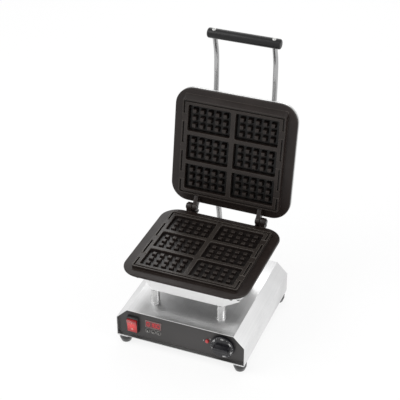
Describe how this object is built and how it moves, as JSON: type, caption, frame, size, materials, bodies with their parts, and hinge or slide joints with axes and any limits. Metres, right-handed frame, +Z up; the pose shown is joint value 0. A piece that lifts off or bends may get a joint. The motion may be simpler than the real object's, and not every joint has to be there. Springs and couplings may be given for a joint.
{
  "type": "waffle on a stick maker",
  "caption": "Countertop waffle iron with a hinged lid, a grip on bent rods, cavities for waffles on sticks, a bevelled steel base on rubber feet and a control panel",
  "frame": {"origin": "on the worktop, under the middle of the whole part's box with the lid open", "axes": "+X to the right seen from the control panel, +Y from the panel to the hinge at the back, +Z up"},
  "size_m": [0.31, 0.4274, 0.6345],
  "materials": {
    "housing_steel": "brushed stainless sheet, fine grain from front to back",
    "plain_steel": "smooth stainless sheet and rod, satin",
    "rod_steel": "polished stainless rod and turned posts",
    "zinc_fasteners": "bright plated screws, nuts and threaded tubes",
    "cast_plate": "cast aluminium with a dark non-stick coat, worn lighter on the edges",
    "element_sheath": "dull heat-darkened element sheath",
    "element_ceramic": "unglazed white ceramic",
    "panel_black": "charcoal satin powder coat",
    "foot_rubber": "black rubber, matt",
    "grip_black": "black heat-proof plastic, satin",
    "black_plastic": "black moulded plastic, satin",
    "frame_plastic": "pale grey moulded frame",
    "rocker_red": "translucent red plastic, glossy",
    "display_red": "dark red display filter, glossy",
    "lamp_lens": "translucent lamp lens",
    "board_green": "green printed board with soldered parts",
    "shaft_brass": "turned brass",
    "copper_tube": "thin copper tube and bulb",
    "lead_silicone": "pale silicone insulation",
    "conduit_metal": "flexible stainless conduit, smooth and bright"
  },
  "bodies": {
    "base": {"base_housing": "housing_steel", "bottom_plate": "plain_steel", "front_panel": "panel_black", "rear_panel": "plain_steel", "rubber_feet": "foot_rubber", "foot_screws": "zinc_fasteners", "foot_nuts": "zinc_fasteners", "panel_screws": "zinc_fasteners", "post_spacers": "rod_steel", "post_tubes": "zinc_fasteners", "post_nuts": "zinc_fasteners", "plate_carrier": "plain_steel", "plate_brackets": "plain_steel", "plate_studs": "zinc_fasteners", "plate_nuts": "zinc_fasteners", "lower_plate": "cast_plate", "lower_heating_element": "element_sheath", "lower_element_terminals": "element_ceramic", "lower_clamp_bars": "zinc_fasteners", "lower_clamp_screws": "zinc_fasteners", "hinge_pins": "rod_steel", "hinge_clips": "rod_steel", "switch_housing": "black_plastic", "display_frame": "frame_plastic", "display_window": "display_red", "control_board": "board_green", "board_standoffs": "zinc_fasteners", "pilot_lamp": "lamp_lens", "thermostat_body": "black_plastic", "panel_nuts": "zinc_fasteners", "knob_bezel": "black_plastic", "thermostat_capillary": "copper_tube", "contactor": "black_plastic", "terminal_block": "black_plastic", "mounting_screws": "zinc_fasteners", "element_leads": "lead_silicone", "conduit_base_gland": "zinc_fasteners", "mains_gland": "black_plastic", "gland_locknuts": "zinc_fasteners", "flexible_conduit": "conduit_metal"},
    "lid": {"upper_plate": "cast_plate", "upper_heating_element": "element_sheath", "upper_element_terminals": "element_ceramic", "upper_clamp_bars": "zinc_fasteners", "upper_clamp_screws": "zinc_fasteners", "upper_hood": "plain_steel", "hood_screws": "zinc_fasteners", "left_handle_rod": "rod_steel", "right_handle_rod": "rod_steel", "rod_nuts": "zinc_fasteners", "handle_grip": "grip_black", "grip_screws": "zinc_fasteners", "conduit_hood_gland": "zinc_fasteners"},
    "rocker": {"power_rocker": "rocker_red"},
    "button_left": {"left_button": "black_plastic"},
    "button_middle": {"middle_button": "black_plastic"},
    "button_right": {"right_button": "black_plastic"},
    "knob": {"control_knob": "black_plastic", "thermostat_shaft": "shaft_brass"}
  },
  "joints": [
    {"name": "lid_hinge", "type": "hinge", "parent": "base", "child": "lid", "pos_m": [0, 0.09227, 0.211], "axis": [1, 0, 0], "range_deg": [0, 99], "deforming": ["flexible_conduit"]},
    {"name": "power_rocker_tilt", "type": "hinge", "parent": "base", "child": "rocker", "pos_m": [-0.1157, -0.19823, 0.059], "axis": [-1, 0, 0], "range_deg": [0, 16]},
    {"name": "left_button_press", "type": "slide", "parent": "base", "child": "button_left", "axis": [0, 1, 0], "range_m": [0, 0.0008], "stiffness_N_per_m": 400},
    {"name": "middle_button_press", "type": "slide", "parent": "base", "child": "button_middle", "axis": [0, 1, 0], "range_m": [0, 0.0008], "stiffness_N_per_m": 400},
    {"name": "right_button_press", "type": "slide", "parent": "base", "child": "button_right", "axis": [0, 1, 0], "range_m": [0, 0.0008], "stiffness_N_per_m": 400},
    {"name": "thermostat_turn", "type": "hinge", "parent": "base", "child": "knob", "pos_m": [0.1015, -0.19173, 0.061], "axis": [0, 1, 0], "range_deg": [0, 270]}
  ]
}
